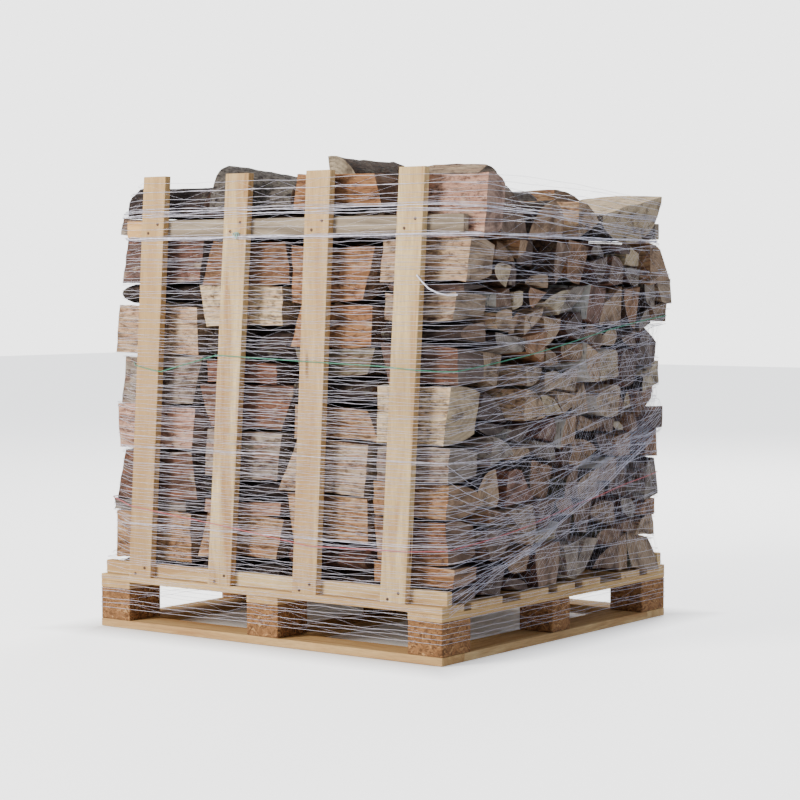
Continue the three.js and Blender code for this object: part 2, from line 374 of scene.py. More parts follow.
# %% Finish the battens
def weathered_board(name):
    tree = Tree(name, roughness=0.85)
    where = tree.object_place()
    place = tree.scaled(where, ALONG["X"])
    streaks = tree.noise(place, 3.4, detail=6, rough=0.65, distort=0.6)
    grey = tree.ramp(streaks, [(0.3, linear((0.36, 0.31, 0.26))), (0.7, linear((0.68, 0.62, 0.53)))])
    fresh = tree.ramp(streaks, [(0.3, linear((0.68, 0.50, 0.30))), (0.7, linear((0.86, 0.70, 0.46)))])
    along = tree.add("ShaderNodeSeparateXYZ", {"Vector": where}).outputs["X"]
    colour = tree.mix(tree.levels(along, -0.47, -0.40), fresh, grey)
    return tree.finish(colour, None, tree.bump(streaks, 0.8, 0.002))


batten_finish = weathered_board("weathered_batten")
for node in ("batten_front", "batten_back"):
    soften(node)
    paint(node, batten_finish)
print("battens are finished")

# %% [markdown]
# ## Pressed chip blocks
# The nine blocks between deck and skids are pressed from wood chips and glue: orange-brown, with
# pale and dark flakes a few millimetres long that lie every way. Two layers of cells at different
# sizes, each cell with a colour of its own, look like that; one layer would look like tiles.

# %% Finish the blocks
def pressed_chips(name):
    tree = Tree(name, roughness=0.9)
    place = tree.object_place()
    ripple = tree.add("ShaderNodeTexNoise", {"Vector": place, "Scale": 40.0}).outputs["Color"]
    bent = tree.mix(0.04, place, ripple)
    flakes = tree.cells(tree.scaled(bent, (1, 1, 2.3)), 95, output="Color")
    crumbs = tree.cells(tree.scaled(bent, (1.8, 1.2, 1)), 260, output="Color")
    tones = [(0.24, 0.15, 0.09), (0.50, 0.35, 0.22), (0.62, 0.45, 0.29), (0.80, 0.66, 0.47)]
    stops = [(at, linear(tone)) for at, tone in zip((0.0, 0.45, 0.8, 1.0), tones)]
    colour = tree.mix(0.3, tree.ramp(flakes, stops), tree.ramp(crumbs, stops))
    height = tree.math("ADD", tree.cells(bent, 95), tree.noise(place, 300))
    return tree.finish(colour, None, tree.bump(height, 0.9, 0.003))


chip_finish = pressed_chips("pressed_chips")
for node in frame["nodes"]:
    if node.startswith("block"):
        soften(node, 0.003)
        paint(node, chip_finish)
print("blocks are finished")

# %% [markdown]
# ## Nail heads
# Each slat is nailed twice through its foot into the rail and twice through to the batten. A head is
# a low disc with a rounded rim. One is modelled and copied to every place; the heads are joined into
# one piece for each frame, because a single nail head needs no name of its own.

# %% Model and place the nail heads
NAIL_RADIUS = 0.0042
NAIL_HEIGHTS = (0.160, 0.178, 1.122, 1.146)
SLAT_WIDTH = 0.082

nail_steel = Tree("nail_steel", roughness=0.5)
nail_steel.shader.inputs["Metallic"].default_value = 0.8
rust = nail_steel.noise(nail_steel.object_place(), 400)
rust_tones = [(0.4, linear((0.30, 0.27, 0.25))), (0.7, linear((0.38, 0.22, 0.13)))]
nail_steel.finish(nail_steel.ramp(rust, rust_tones))


def slat_centre(node, height):
    """The x of a leaning slat's middle at a height, from its box."""
    low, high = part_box(node)
    lean = (high.x - low.x) - SLAT_WIDTH
    return low.x + SLAT_WIDTH / 2 + lean * (height - low.z) / (high.z - low.z)


def nail_row(word, outward):
    heads = []
    for slat in range(1, 5):
        node = f"slat_{word}_{slat}"
        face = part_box(node)[0 if outward < 0 else 1].y
        for k, height in enumerate(NAIL_HEIGHTS):
            x = slat_centre(node, height) + (0.018 if k % 2 else -0.016)
            bpy.ops.object.select_all(action="DESELECT")
            bpy.ops.mesh.primitive_cylinder_add(
                vertices=12, radius=NAIL_RADIUS, depth=0.003,
                location=(x, face + outward * 0.0002, height), rotation=(math.radians(90), 0, 0),
            )
            bpy.ops.object.mode_set(mode="EDIT")
            bpy.ops.mesh.bevel(offset=0.0009, segments=2, affect="EDGES")
            bpy.ops.object.mode_set(mode="OBJECT")
            heads.append(bpy.context.object)
    bpy.ops.object.select_all(action="DESELECT")
    for head in heads:
        head.select_set(True)
    bpy.context.view_layer.objects.active = heads[0]
    bpy.ops.object.join()
    bpy.ops.object.transform_apply(location=True, rotation=True, scale=True)
    piece = bpy.context.object
    piece.name = "nails_" + word
    piece.data.materials.append(nail_steel.material)
    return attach(piece, "root")


print("nails:", [nail_row("front", -1).name, nail_row("back", 1).name])

# %% [markdown]
# ## One billet, split with an axe
# A billet is a length of round log, split along its fibres. So each pattern billet starts as a
# cylinder that lies along X, and flat cuts take the waste away, as an axe does: one cut through the
# heart gives a half, two give a quarter or a wedge, two side by side give a slab. More cuts, which
# remove nothing, lay a grid over the faces, so that they can be roughened and bent later. Cylinders
# modelled by hand one at a time would take a day; a handful of patterns, bent in different ways, do.

# %% Cut the pattern billets
ROUND_SIDES = 26
CROSS_CUTS = (-0.94, -0.8, -0.6, -0.4, -0.2, 0.0, 0.2, 0.4, 0.6, 0.8, 0.94)
GRID_CUTS = (-0.27, -0.09, 0.09, 0.27)
BARK, SPLIT, SAWN_END = 0, 1, 2

# Each pattern: the flat cuts as (direction of the waste in degrees, distance from the heart).
PATTERN_CUTS = {
    "half": [(180, 0.0)],
    "quarter": [(180, 0.0), (270, 0.0)],
    "wedge": [(180, 0.0), (300, 0.02)],
    "thin_wedge": [(180, 0.0), (325, 0.03)],
    "slab": [(180, 0.04), (0, 0.36)],
    "block": [(180, -0.06), (270, 0.0), (20, 0.40)],
    "kite": [(180, 0.0), (270, 0.0), (225, -0.16)],
    "round": [],
    "split_round": [(180, 0.2), (310, 0.36)],
}


def bisect_all(point, direction, clear=False):
    bpy.ops.mesh.select_all(action="SELECT")
    bpy.ops.mesh.bisect(plane_co=point, plane_no=direction, use_fill=clear, clear_outer=clear)


def cut_pattern(name, cuts):
    bpy.ops.object.select_all(action="DESELECT")
    bpy.ops.mesh.primitive_cylinder_add(
        vertices=ROUND_SIDES, radius=0.5, depth=2, rotation=(0, math.radians(90), 0)
    )
    bpy.ops.object.transform_apply(location=True, rotation=True, scale=True)
    bpy.ops.object.mode_set(mode="EDIT")
    for angle, distance in cuts:
        outward = Vector((0, math.cos(math.radians(angle)), math.sin(math.radians(angle))))
        bisect_all(outward * distance, outward, clear=True)
    for x in CROSS_CUTS:
        bisect_all((x, 0, 0), (1, 0, 0))
    for step in GRID_CUTS:
        bisect_all((0, step, 0), (0, 1, 0))
        bisect_all((0, 0, step), (0, 0, 1))
    bpy.ops.mesh.select_all(action="SELECT")
    bpy.ops.mesh.remove_doubles(threshold=0.004)
    bpy.ops.mesh.normals_make_consistent(inside=False)
    bpy.ops.object.mode_set(mode="OBJECT")
    return read_pattern(bpy.context.object)


def read_pattern(piece):
    """The pattern's points, faces and what each face is: bark, split wood or a sawn end."""
    mesh = piece.data
    points = np.array([v.co for v in mesh.vertices])
    faces = [list(f.vertices) for f in mesh.polygons]
    kinds = []
    for f in mesh.polygons:
        radius = math.hypot(f.center.y, f.center.z)
        is_bark = radius > 0.47 and (f.normal.y * f.center.y + f.normal.z * f.center.z) / radius > 0.9
        kinds.append(SAWN_END if abs(f.normal.x) > 0.8 else BARK if is_bark else SPLIT)
    low, high = points.min(0), points.max(0)
    unit = (points - low) / (high - low)
    bpy.data.objects.remove(piece)
    return {"points": points, "unit": unit, "faces": faces, "kinds": kinds, "size": high - low}


patterns = {name: cut_pattern(name, cuts) for name, cuts in PATTERN_CUTS.items()}
print({name: len(p["faces"]) for name, p in patterns.items()})

# %% [markdown]
# ## Colours of the wood
# No two billets have the same colour. Fresh birch splits cream to orange, older wood is tan or
# brown, wet wood is nearly black, and bark is dark grey, red-brown or, on young birch, almost white.
# Each billet carries its own two colours as attributes on its points, so that four finishes can
# serve hundreds of billets. A material for each billet would look the same and cost far more.

# %% Name the wood colours
WOOD = {
    "cream": (0.91, 0.82, 0.67), "pale": (0.81, 0.69, 0.56), "tan": (0.70, 0.56, 0.42),
    "orange": (0.79, 0.58, 0.39), "pink": (0.82, 0.64, 0.54), "brown": (0.54, 0.41, 0.31),
    "red": (0.54, 0.37, 0.30), "grey": (0.62, 0.57, 0.52), "dark": (0.42, 0.33, 0.29),
    "olive": (0.52, 0.47, 0.37), "amber": (0.68, 0.49, 0.33),
}
BARKS = {
    "dark": (0.25, 0.19, 0.16), "red": (0.38, 0.24, 0.18), "grey": (0.43, 0.39, 0.35),
    "olive": (0.38, 0.36, 0.28), "birch": (0.87, 0.84, 0.79), "brown": (0.34, 0.25, 0.19),
}
print(len(WOOD), "wood colours and", len(BARKS), "bark colours")

# %% [markdown]
# ## Laying a billet
# The space for a billet is a four-sided cell, seen from the end. A pattern billet fits any cell when
# each of its points keeps its share of the way across and up. The billet is then turned over at
# random, bowed a little, tapered, and roughened by noise: coarse on bark, long ridges on split
# wood, because fibres tear along the log. The helper returns its points and faces, to be joined later.

# %% Shape one billet
CELL_GAP = 0.003
TWIST = 0.05
END_SLANT = 0.16


def roughness_of(grain, kind_share, seed):
    """How far each point moves in or out, in metres."""
    moves = np.empty(len(grain))
    for i, (x, y, z) in enumerate(grain):
        ridges = noise.noise(Vector((x * 5 + seed, y * 42, z * 42)))
        lumps = noise.noise(Vector((x * 13, y * 17 + seed, z * 17)))
        crust = noise.noise(Vector((x * 55, y * 60, z * 60 + seed)))
        bark = kind_share[i]
        moves[i] = (1 - bark) * (0.0052 * ridges + 0.0042 * lumps) + bark * (0.0034 * crust + 0.0046 * lumps)
    return moves


def lay_billet(pattern_name, corners, ends, dice, flips=(False, False, False), lean=0.0, turn=0.0):
    """One billet in a cell. corners are (y, z): low front, low back, high back, high front."""
    pattern = patterns[pattern_name]
    across, up = pattern["unit"][:, 1], pattern["unit"][:, 2]
    swap, turn_across, turn_up = flips
    if swap:
        across, up = up, across
    if turn_across:
        across = 1 - across
    if turn_up:
        up = 1 - up
    along = pattern["points"][:, 0]
    cell = np.array(corners)
    middle = cell.mean(0)
    cell = middle + (cell - middle) * (1 - 2 * CELL_GAP / np.maximum(np.ptp(cell, axis=0), 0.03))
    place = (
        np.outer((1 - across) * (1 - up), cell[0]) + np.outer(across * (1 - up), cell[1])
        + np.outer(across * up, cell[2]) + np.outer((1 - across) * up, cell[3])
    )
    taper = 1 + dice.uniform(-0.07, 0.03) * along
    bow = dice.uniform(-0.006, 0.006) * (1 - along**2)
    angle = turn + dice.uniform(-TWIST, TWIST) * along
    offset = (place - middle) * taper[:, None] * (1 - 0.35 * abs(turn))
    place = middle + np.column_stack([
        offset[:, 0] * np.cos(angle) - offset[:, 1] * np.sin(angle),
        offset[:, 0] * np.sin(angle) + offset[:, 1] * np.cos(angle) + bow,
    ])
    radius = max(np.ptp(cell, axis=0)) / max(pattern["size"][1:])
    across_slant = dice.uniform(-0.12, 0.12)
    up_slant = np.where(along < 0, dice.gauss(0, END_SLANT), dice.gauss(0, END_SLANT))
    x = ends[0] + (along + 1) / 2 * (ends[1] - ends[0])
    out = place - middle
    x += np.abs(along) ** 3 * (across_slant * out[:, 0] + up_slant * out[:, 1])
    x += lean * out[:, 1]
    grain = np.column_stack([x, pattern["points"][:, 1] * radius, pattern["points"][:, 2] * radius])
    on_bark = np.zeros(len(x))
    for face, kind in zip(pattern["faces"], pattern["kinds"]):
        if kind == BARK:
            on_bark[face] = 1
    seed = dice.uniform(0, 90)
    move = roughness_of(grain, on_bark, seed)
    out /= np.maximum(np.linalg.norm(out, axis=1, keepdims=True), 1e-6)
    place = place + out * move[:, None]
    grain[:, 0] += seed
    points = np.column_stack([x, place])
    inside_out = swap ^ turn_across ^ turn_up
    faces = [f[::-1] for f in pattern["faces"]] if inside_out else pattern["faces"]
    return points, faces, pattern["kinds"], grain


trial = lay_billet("half", [(0, 0), (0.1, 0), (0.1, 0.1), (0, 0.1)], (0, 0.3), random.Random(1))
print("a half billet has", len(trial[0]), "points and", len(trial[1]), "faces")

# %% [markdown]
# ## Joining billets into one piece
# A tier is one piece made of many billets. Its points, faces and attributes are stacked up and given
# to one mesh at once, which takes a moment where joining objects one by one takes minutes. "grain"
# holds each point's place in its own log, so rings and fibres follow the wood; "wood" and "bark"
# hold the two colours.

# %% Build a piece from billets
billet_finishes = []


def to_light(colour, dice, spread=0.07):
    shade = 1 + dice.uniform(-spread, spread)
    warm = dice.uniform(-0.02, 0.02)
    return (*linear([min(max(c * shade + w, 0.02), 0.95) for c, w in zip(colour, (warm, 0, -warm))]), 1)


def build_piece(name, billets):
    """billets: a list of (points, faces, kinds, grain, wood colour, bark colour)."""
    points, faces, kinds, grain, wood, bark = [], [], [], [], [], []
    for b_points, b_faces, b_kinds, b_grain, b_wood, b_bark in billets:
        start = sum(len(p) for p in points)
        points.append(b_points)
        faces += [[start + v for v in f] for f in b_faces]
        kinds += b_kinds
        grain.append(b_grain)
        wood.append(np.tile(b_wood, (len(b_points), 1)))
        bark.append(np.tile(b_bark, (len(b_points), 1)))
    mesh = bpy.data.meshes.new(name)
    mesh.from_pydata(np.concatenate(points).tolist(), [], faces)
    mesh.update()
    for finish in billet_finishes:
        mesh.materials.append(finish)
    mesh.polygons.foreach_set("material_index", kinds)
    layers = (("grain", "VECTOR", grain), ("wood", "COLOR", wood), ("bark", "COLOR", bark))
    for layer, kind, values in layers:
        data = mesh.attributes.new(layer, "FLOAT_" + kind, "POINT").data
        data.foreach_set(kind.lower(), np.concatenate(values).ravel())
    piece = bpy.data.objects.new(name, mesh)
    bpy.context.collection.objects.link(piece)
    bpy.ops.object.select_all(action="DESELECT")
    piece.select_set(True)
    bpy.context.view_layer.objects.active = piece
    bpy.ops.object.shade_smooth_by_angle(angle=math.radians(38))
    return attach(piece, "root")


print("brown in light values:", to_light(WOOD["brown"], random.Random(1)))

# %% [markdown]
# ## The three faces of a billet
# Split wood shows long torn fibres and streaks; a sawn end shows growth rings, the saw's marks, dark
# drying cracks that run out from the heart, and a grey-brown cast, partly the grey of weather and partly
# painted shade for the shaded right side of the stack, where the ends show; bark is a crust of ridges.
# All three read the billet's own "grain" place. Birch bark is the odd one: almost white and smooth, with
# short dark dashes across the log, so the bark finish turns into it where the bark colour is pale.

# %% Make the billet finishes
def split_wood():
    tree = Tree("split_wood", roughness=0.85)
    grain = tree.attribute("grain")
    tone = tree.attribute("wood", "Color")
    fibres = tree.noise(tree.scaled(grain, (8, 190, 190)), 1.0, detail=5, rough=0.7, distort=0.5)
    streaks = tree.noise(tree.scaled(grain, (5, 52, 52)), 1.0, detail=4, distort=0.8)
    stains = tree.noise(tree.scaled(grain, (13, 24, 24)), 1.0, detail=5, rough=0.65)
    mottle = tree.noise(tree.scaled(grain, (34, 84, 84)), 1.0, detail=5, rough=0.75)
    shade = tree.mix(0.66, tone, linear((0.27, 0.17, 0.12)))
    warm = tree.mix(0.5, tone, linear((0.66, 0.40, 0.28)))
    colour = tree.mix(tree.levels(streaks, 0.46, 0.62, 0.0, 0.75), tone, warm)
    colour = tree.mix(tree.levels(fibres, 0.47, 0.62, 0.0, 0.85), colour, shade)
    colour = tree.mix(tree.levels(mottle, 0.50, 0.62, 0.0, 0.70), colour, linear((0.24, 0.16, 0.13)))
    colour = tree.mix(tree.levels(stains, 0.53, 0.66, 0.0, 0.75), colour, linear((0.25, 0.17, 0.14)))
    light = tree.mix(0.6, tone, linear((0.90, 0.82, 0.70)))
    colour = tree.mix(tree.levels(stains, 0.44, 0.34, 0.0, 0.5), colour, light)
    height = tree.math("ADD", fibres, tree.math("MULTIPLY", streaks, 1.6))
    return tree.finish(colour, None, tree.bump(height, 1.0, 0.008))


def sawn_end():
    tree = Tree("sawn_end", roughness=0.88)
    grain = tree.attribute("grain")
    # Every end's wood colour is mixed half-way to grey-brown: partly the grey of weather, partly painted
    # shade, as the ends make up the stack's shaded right side.
    tone = tree.mix(0.50, tree.attribute("wood", "Color"), linear((0.42, 0.39, 0.37)))
    flat = tree.scaled(grain, (0, 1, 1))
    heart = tree.add("ShaderNodeVectorMath", {0: flat}, operation="LENGTH").outputs["Value"]
    wobble = tree.noise(grain, 30, detail=2)
    ring_place = tree.math("ADD", tree.math("MULTIPLY", heart, 620.0), tree.math("MULTIPLY", wobble, 9.0))
    rings = tree.math("MULTIPLY_ADD", tree.math("SINE", ring_place), 0.5)
    fine = tree.noise(grain, 240, detail=4)
    patches = tree.noise(grain, 26, detail=4)
    dark = tree.mix(0.6, tone, linear((0.22, 0.15, 0.11)))
    colour = tree.mix(tree.levels(rings, 0.2, 0.9, 0.0, 0.35), tone, dark)
    colour = tree.mix(tree.levels(patches, 0.46, 0.66, 0.0, 0.75), colour, linear((0.25, 0.20, 0.17)))
    colour = tree.mix(tree.levels(patches, 0.42, 0.30, 0.0, 0.45), colour, linear((0.66, 0.60, 0.54)))
    colour = tree.mix(tree.levels(fine, 0.5, 0.75, 0.0, 0.5), colour, dark)
    parts = tree.add("ShaderNodeSeparateXYZ", {"Vector": grain}).outputs
    angle = tree.math("MULTIPLY", tree.math("ARCTAN2", parts["Y"], parts["Z"]), 5.0)
    spokes = tree.add("ShaderNodeCombineXYZ", {"X": angle, "Y": parts["X"]}).outputs["Vector"]
    cracks = tree.levels(tree.noise(spokes, 1.6, detail=3, rough=0.7), 0.64, 0.69)
    colour = tree.mix(tree.math("MULTIPLY", cracks, 0.8), colour, linear((0.10, 0.07, 0.06)))
    relief = tree.math("ADD", fine, tree.math("MULTIPLY", rings, 0.3))
    height = tree.math("SUBTRACT", relief, tree.math("MULTIPLY", cracks, 1.5))
    return tree.finish(colour, None, tree.bump(height, 0.9, 0.004))


def bark_crust():
    tree = Tree("bark_crust", roughness=0.92)
    grain = tree.attribute("grain")
    tone = tree.attribute("bark", "Color")
    plates = tree.noise(tree.scaled(grain, (48, 120, 120)), 1.0, detail=6, rough=0.75, distort=0.9)
    lichen = tree.noise(tree.scaled(grain, (60, 70, 70)), 1.0, detail=5, rough=0.7)
    patches = tree.noise(grain, 14, detail=2)
    colour = tree.mix(tree.levels(plates, 0.38, 0.55), linear((0.15, 0.12, 0.12)), tone)
    ridges = tree.mix(0.45, tone, linear((0.60, 0.52, 0.45)))
    colour = tree.mix(tree.levels(plates, 0.55, 0.70, 0.0, 0.6), colour, ridges)
    crust = tree.math("MULTIPLY", tree.levels(lichen, 0.52, 0.62), tree.levels(patches, 0.45, 0.65, 0.0, 0.6))
    colour = tree.mix(crust, colour, linear((0.50, 0.48, 0.41)))
    dashes = tree.noise(tree.scaled(grain, (230, 26, 26)), 1.0, detail=3, rough=0.6)
    white = tree.mix(tree.levels(dashes, 0.60, 0.66), tone, linear((0.22, 0.17, 0.14)))
    white = tree.mix(tree.levels(lichen, 0.50, 0.75, 0.0, 0.5), white, linear((0.62, 0.54, 0.45)))
    lightness = tree.add("ShaderNodeSeparateXYZ", {"Vector": tone}).outputs["X"]
    colour = tree.mix(tree.levels(lightness, 0.40, 0.45), colour, white)
    return tree.finish(colour, None, tree.bump(plates, 1.0, 0.010))


billet_finishes += [bark_crust(), split_wood(), sawn_end()]
print([m.name for m in billet_finishes])

# %% [markdown]
# ## The front of each tier
# The billets behind the slats are the ones people look at, so they are set out one by one from the
# deck up: height in millimetres, pattern, wood colour, bark colour, whether the bark faces out, and
# how much shorter the billet is at its left and right end. The wide flat faces, the thin slices and
# the dark round backs give the front its rhythm.

# %% Set out the front billets
FRONT = {
    1: [
        (41, "half", "brown", "dark", True, 0, 10), (143, "slab", "tan", "dark", False, 4, 0),
        (34, "wedge", "grey", "dark", False, -10, 30), (142, "slab", "dark", "grey", False, 8, 4),
        (128, "slab", "pink", "brown", False, 0, 6), (141, "block", "grey", "grey", False, 6, 0),
        (141, "slab", "pale", "dark", False, -18, 0), (62, "half", "brown", "dark", True, 4, 8),
        (133, "slab", "dark", "dark", False, 6, 0), (51, "slab", "grey", "grey", False, -8, 60),
    ],
    2: [
        (69, "half", "brown", "dark", True, 6, 0), (125, "slab", "tan", "red", False, 0, 8),
        (41, "wedge", "pink", "brown", False, 10, 0), (56, "half", "dark", "dark", True, 0, 12),
        (137, "block", "grey", "dark", False, 8, 4), (124, "block", "dark", "dark", False, 0, 0),
        (63, "slab", "red", "red", False, 4, 40), (94, "half", "dark", "dark", True, 8, 0),
        (117, "slab", "cream", "grey", False, -16, 24), (123, "half", "brown", "grey", False, 0, 6),
        (79, "half", "dark", "dark", True, 0, 0),
    ],
    3: [
        (50, "half", "brown", "dark", True, 0, 0), (88, "half", "red", "red", True, 4, 6),
        (127, "block", "tan", "brown", False, 0, 0), (145, "slab", "pale", "red", False, -6, 4),
        (90, "slab", "tan", "dark", False, 8, 0), (86, "half", "brown", "dark", True, 0, 6),
        (74, "wedge", "olive", "grey", False, 12, 0), (120, "block", "amber", "brown", False, 0, 8),
        (152, "half", "amber", "red", False, -4, 20), (96, "half", "dark", "grey", True, 4, 4),
    ],
    4: [
        (39, "half", "brown", "dark", True, 0, 10), (60, "slab", "orange", "brown", False, 0, 14),
        (118, "slab", "brown", "dark", False, 8, 22), (94, "half", "tan", "brown", False, 0, 24),
        (96, "slab", "grey", "grey", False, 6, 26), (157, "slab", "cream", "birch", False, -6, 42),
        (106, "slab", "dark", "red", False, 10, 16), (62, "half", "brown", "dark", True, 0, 8),
        (76, "slab", "pale", "brown", False, 4, 32), (22, "thin_wedge", "dark", "grey", False, 10, 0),
        (116, "slab", "pale", "brown", False, -14, -6),
    ],
}
print("front billets:", {tier: len(rows) for tier, rows in FRONT.items()})

# %% [markdown]
# ## The rest of each tier
# Behind the front row the billets lie as they fell. Seen from the end they share out the tier's
# space, so the space is split in two again and again, at a random place, until every part is about
# the size of a billet. A slow noise then pushes the corners about. Neighbours share their corners,
# so they lie close, and no seam runs straight through the stack as in a brick wall. The turns and the
# roughness that follow do press some billets into a neighbour, mostly by a few millimetres.

# %% Share out the space behind the front row
STACK_LEAN = 0.045
BILLET_WIDE = 0.158
BILLET_HIGH = 0.118
SHIFT = 0.022


def share_out(low_y, high_y, low_z, high_z, dice):
    wide, high = high_y - low_y, high_z - low_z
    if wide < BILLET_WIDE and high < BILLET_HIGH:
        return [(low_y, high_y, low_z, high_z)]
    nearly_small = max(wide / BILLET_WIDE, high / BILLET_HIGH) < 2.2
    part = dice.uniform(0.36, 0.64) if nearly_small else dice.uniform(0.42, 0.58)
    upright_cut = wide / BILLET_WIDE * dice.uniform(0.7, 2.2) > high / BILLET_HIGH
    if wide > 0.8 * BILLET_WIDE and (upright_cut or high < 0.8 * BILLET_HIGH):
        cut = low_y + wide * part
        return share_out(low_y, cut, low_z, high_z, dice) + share_out(cut, high_y, low_z, high_z, dice)
    cut = low_z + high * part
    return share_out(low_y, high_y, low_z, cut, dice) + share_out(low_y, high_y, cut, high_z, dice)


def pushed(y, z, limits, tier):
    """A corner's new place; corners on the tier's own edges stay on them."""
    low_y, high_y, low_z, high_z = limits
    free_y = min(y - low_y, high_y - y) > 0.002
    free_z = min(z - low_z, high_z - z) > 0.002
    swirl = Vector((y * 7.0, z * 7.0, tier * 3.7))
    dy = SHIFT * 1.6 * noise.noise(swirl) if free_y else 0.0
    dz = SHIFT * 1.6 * noise.noise(swirl + Vector((31.0, 17.0, 0.0))) if free_z else 0.0
    return (y + dy, z + dz)


def cell_corners(cell, limits, tier):
    low_y, high_y, low_z, high_z = cell
    corners = ((low_y, low_z), (high_y, low_z), (high_y, high_z), (low_y, high_z))
    return [pushed(y, z, limits, tier) for y, z in corners]


print("a square metre is shared by", len(share_out(0, 1, 0, 1, random.Random(1))), "billets")

# %% [markdown]
# ## Stacking the tiers
# Every tier is built from its own seed, so the stack is the same each time. A front billet keeps its
# flat or its bark towards the slats; the others are turned over at random. Along the back edge only
# full shapes are used. The ends stay uneven, because nobody lines them up.

# %% Stack the tiers
FRONT_DEPTH = (0.105, 0.15)
WOOD_ODDS = [
    "tan", "brown", "pale", "grey", "tan", "brown", "amber", "pale", "red", "dark", "dark", "grey", "cream"
]
BARK_ODDS = ["dark", "brown", "grey", "dark", "red", "olive", "dark", "birch"]
PATTERN_ODDS = [
    "quarter", "wedge", "block", "kite", "quarter", "slab", "split_round", "half", "block", "wedge", "kite"
]
FULL_PATTERNS = ["block", "slab", "block"]  # for the back edge, so that no daylight shows through it
FULL_EXTRA = 0.005
END_UNEVEN = 0.020
TURN = 0.20


def tier_limits(tier):
    low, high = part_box(f"billet_tier_{tier}")
    return low, high, high.x - STACK_LEAN * (high.z - low.z)


def random_billet(tier, cell, limits, dice, x_ends):
    corners = cell_corners(cell, limits, tier)
    flips = tuple(dice.random() < 0.5 for _ in range(3))
    name = dice.choice(PATTERN_ODDS)
    if cell[1] > limits[1] - 0.01:
        name = dice.choice(FULL_PATTERNS)
        corners = [(y, z + (FULL_EXTRA if k > 1 else -FULL_EXTRA)) for k, (y, z) in enumerate(corners)]
    middle_z = (cell[2] + cell[3]) / 2
    low, high, right = x_ends
    shift = STACK_LEAN * (middle_z - low.z)
    x_from = low.x + shift + dice.uniform(-0.004, END_UNEVEN) + max(0, dice.gauss(0, END_UNEVEN))
    x_to = right + shift - dice.uniform(-0.008, END_UNEVEN) - max(0, dice.gauss(0, END_UNEVEN))
    shape = lay_billet(name, corners, (x_from, x_to), dice, flips, STACK_LEAN, dice.uniform(-TURN, TURN))
    wood = to_light(WOOD[dice.choice(WOOD_ODDS)], dice)
    bark = to_light(BARKS[dice.choice(BARK_ODDS)], dice)
    return (*shape, wood, bark)


def front_billet(row, cell, dice, x_ends):
    _, name, wood, bark, bark_out, short_left, short_right = row
    low, high, right = x_ends
    low_y, high_y, low_z, high_z = cell
    tilt = dice.uniform(-0.004, 0.004)
    corners = [(low_y, low_z), (high_y, low_z + tilt), (high_y, high_z + tilt), (low_y, high_z)]
    shift = STACK_LEAN * ((low_z + high_z) / 2 - low.z)
    spare = dice.uniform(0, 0.010), dice.uniform(0, 0.014)
    ends = (low.x + shift + spare[0] + short_left / 1000, right + shift - spare[1] - short_right / 1000)
    flips = (False, bark_out, dice.random() < 0.5)
    shape = lay_billet(name, corners, ends, dice, flips, STACK_LEAN)
    return (*shape, to_light(WOOD[wood], dice, 0.03), to_light(BARKS[bark], dice, 0.05))


def stack_tier(tier):
    dice = random.Random(40 + tier)
    low, high, right = x_ends = tier_limits(tier)
    billets = []
    z = low.z
    for row in FRONT[tier]:
        top = z + row[0] / 1000
        depth = dice.uniform(*FRONT_DEPTH)
        set_back = dice.uniform(0.0, 0.008)
        cell = (low.y + set_back, low.y + depth, z, top)
        billets.append(front_billet(row, cell, dice, x_ends))
        z = top
    back_from = low.y + FRONT_DEPTH[1]
    limits = (back_from, high.y, low.z, high.z)
    for cell in share_out(*limits, dice):
        billets.append(random_billet(tier, cell, limits, dice, x_ends))
    piece = build_piece(f"billets_{tier}", billets)
    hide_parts(f"billet_tier_{tier}")
    return len(billets), len(piece.data.polygons)


print("billets and faces in each tier:", [stack_tier(tier) for tier in FRONT])

# %% [markdown]
# ## The billets on top
# The last billets lie loose on the tiers and make the load's ragged outline, so each is its own
# piece in its own place: a big slab at the near corner, a hump with bark, a pale half that lies
# crosswise, a wide pale half at the back. Pattern, colours and turns are listed for each.

# %% Lay the billets on top
TOP = {
    "top_quarter_billet_1": ("quarter", "pink", "dark", (False, True, False)),
    "top_half_billet_1": ("half", "brown", "dark", (True, False, False)),
    "top_wedge_billet_1": ("wedge", "grey", "brown", (False, False, False)),
    "top_half_billet_2": ("half", "tan", "dark", (True, False, False)),
    "top_half_billet_3": ("half", "tan", "grey", (True, False, False)),
    "top_slab_billet_1": ("slab", "brown", "dark", (True, False, False)),
    "top_quarter_billet_2": ("quarter", "tan", "dark", (False, False, False)),
    "top_half_billet_4": ("half", "brown", "grey", (True, False, False)),
    "top_slab_billet_2": ("slab", "amber", "dark", (False, False, False)),
    "top_wedge_billet_2": ("half", "cream", "brown", (False, False, True)),
    "top_quarter_billet_3": ("quarter", "brown", "red", (False, False, False)),
    "top_half_billet_5": ("half", "grey", "dark", (True, False, False)),
    "top_wedge_billet_3": ("wedge", "tan", "dark", (False, False, False)),
    "top_slab_billet_3": ("slab", "pink", "brown", (False, False, False)),
    "top_quarter_billet_4": ("quarter", "brown", "dark", (False, False, False)),
    "top_half_billet_6": ("half", "tan", "dark", (True, False, False)),
    "top_wedge_billet_4": ("wedge", "pale", "grey", (False, False, False)),
    "top_half_billet_7": ("half", "cream", "grey", (True, False, True)),
    "top_slab_billet_4": ("wedge", "pale", "brown", (True, False, False)),
}
CROSSWISE = "top_wedge_billet_2"
CAP, CAP_SETTLE = "top_slab_billet_4", 0.008  # lies snugly on the slab below it
THINNING = {"top_half_billet_3": 0.34, "top_half_billet_5": 0.2}  # how much the right end is lower
PALE_HALF = "top_half_billet_7"  # lies on its round side, with its pale split face towards the front


